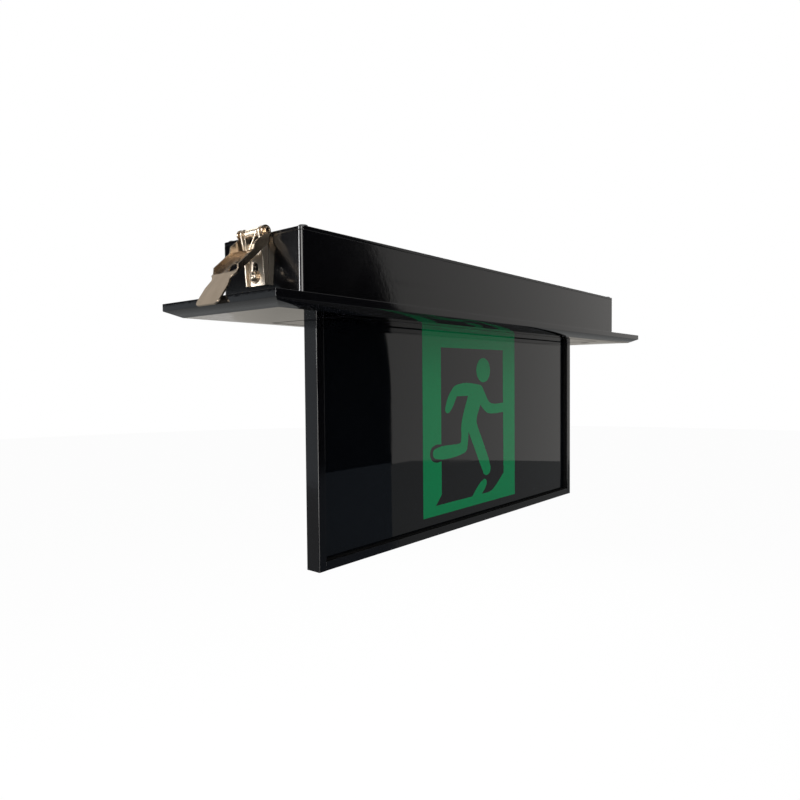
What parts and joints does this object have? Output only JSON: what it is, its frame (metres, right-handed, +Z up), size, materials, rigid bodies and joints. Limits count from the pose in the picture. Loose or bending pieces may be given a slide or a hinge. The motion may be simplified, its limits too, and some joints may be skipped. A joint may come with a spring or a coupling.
{
  "type": "recessed emergency exit light",
  "caption": "Recessed ceiling exit light: a black box with sprung end clips, a wide bevelled trim flange and a hanging edge-lit sign blade.",
  "frame": {"origin": "centre of the ceiling plane, which is the top of the trim flange", "axes": "+Z up into the ceiling, +X along the blade towards the test button's end, -Y the front of the sign"},
  "size_m": [0.4482, 0.098, 0.1916],
  "materials": {
    "gloss_black": "gloss black, moulded",
    "painted_black": "gloss black paint",
    "legend": "smooth dark printed sheet",
    "clear_acrylic": "clear",
    "bare_aluminium": "satin, extruded",
    "white_laminate": "matt white",
    "led_phosphor": "smooth",
    "galvanised": "zinc plated sheet",
    "green_laminate": "solder mask",
    "white_nylon": "matt",
    "winding": "varnished copper and core",
    "black_film": "sleeved",
    "blue_case": "moulded",
    "cell_wrap": "cans wrapped in film",
    "black_rubber": "matt",
    "lamp_lens": "clear green",
    "clip_nickel": "warm bright nickel plate",
    "spring_steel": "bright drawn wire"
  },
  "bodies": {
    "body": {"battery_pack": "cell_wrap", "battery_straps": "white_nylon", "blade_bottom_rail": "painted_black", "blade_stile_left": "painted_black", "blade_stile_right": "painted_black", "board_standoffs": "white_nylon", "cable_grommet": "black_rubber", "carrier_plate": "gloss_black", "charge_lamp": "lamp_lens", "clip_left_bracket": "clip_nickel", "clip_left_nut": "clip_nickel", "clip_left_pin": "clip_nickel", "clip_left_screw": "clip_nickel", "clip_left_spring": "spring_steel", "clip_left_washer": "clip_nickel", "clip_right_bracket": "clip_nickel", "clip_right_nut": "clip_nickel", "clip_right_pin": "clip_nickel", "clip_right_screw": "clip_nickel", "clip_right_spring": "spring_steel", "clip_right_washer": "clip_nickel", "driver_board": "green_laminate", "driver_capacitor": "black_film", "driver_relay": "blue_case", "driver_transformer": "winding", "gear_tray": "galvanised", "housing_shell": "painted_black", "led_board": "white_laminate", "led_chips": "led_phosphor", "led_rail": "bare_aluminium", "legend_sheet_back": "legend", "legend_sheet_front": "legend", "light_guide": "clear_acrylic", "switch_board": "green_laminate", "switch_posts": "white_nylon", "terminal_block": "white_nylon", "test_switch": "black_film", "top_cover": "painted_black", "trim_plate": "gloss_black"},
    "clip_left_arm": {"clip_left_lever": "clip_nickel"},
    "clip_right_arm": {"clip_right_lever": "clip_nickel"},
    "button": {"test_button": "gloss_black"}
  },
  "joints": [
    {"name": "clip_left_swing", "type": "hinge", "parent": "body", "child": "clip_left_arm", "pos_m": [-0.1952, 0.001, 0.0357], "axis": [0, 1, 0], "range_deg": [0, 135], "stiffness_Nm_per_rad": 0.03, "springref_deg": -34.38, "deforming": ["clip_left_spring"]},
    {"name": "clip_right_swing", "type": "hinge", "parent": "body", "child": "clip_right_arm", "pos_m": [0.1952, -0.001, 0.0357], "axis": [0, -1, 0], "range_deg": [0, 135], "stiffness_Nm_per_rad": 0.03, "springref_deg": -34.38, "deforming": ["clip_right_spring"]},
    {"name": "test_press", "type": "slide", "parent": "body", "child": "button", "axis": [0, 0, 1], "range_m": [0, 0.001], "stiffness_N_per_m": 300, "springref_m": -0.001}
  ]
}
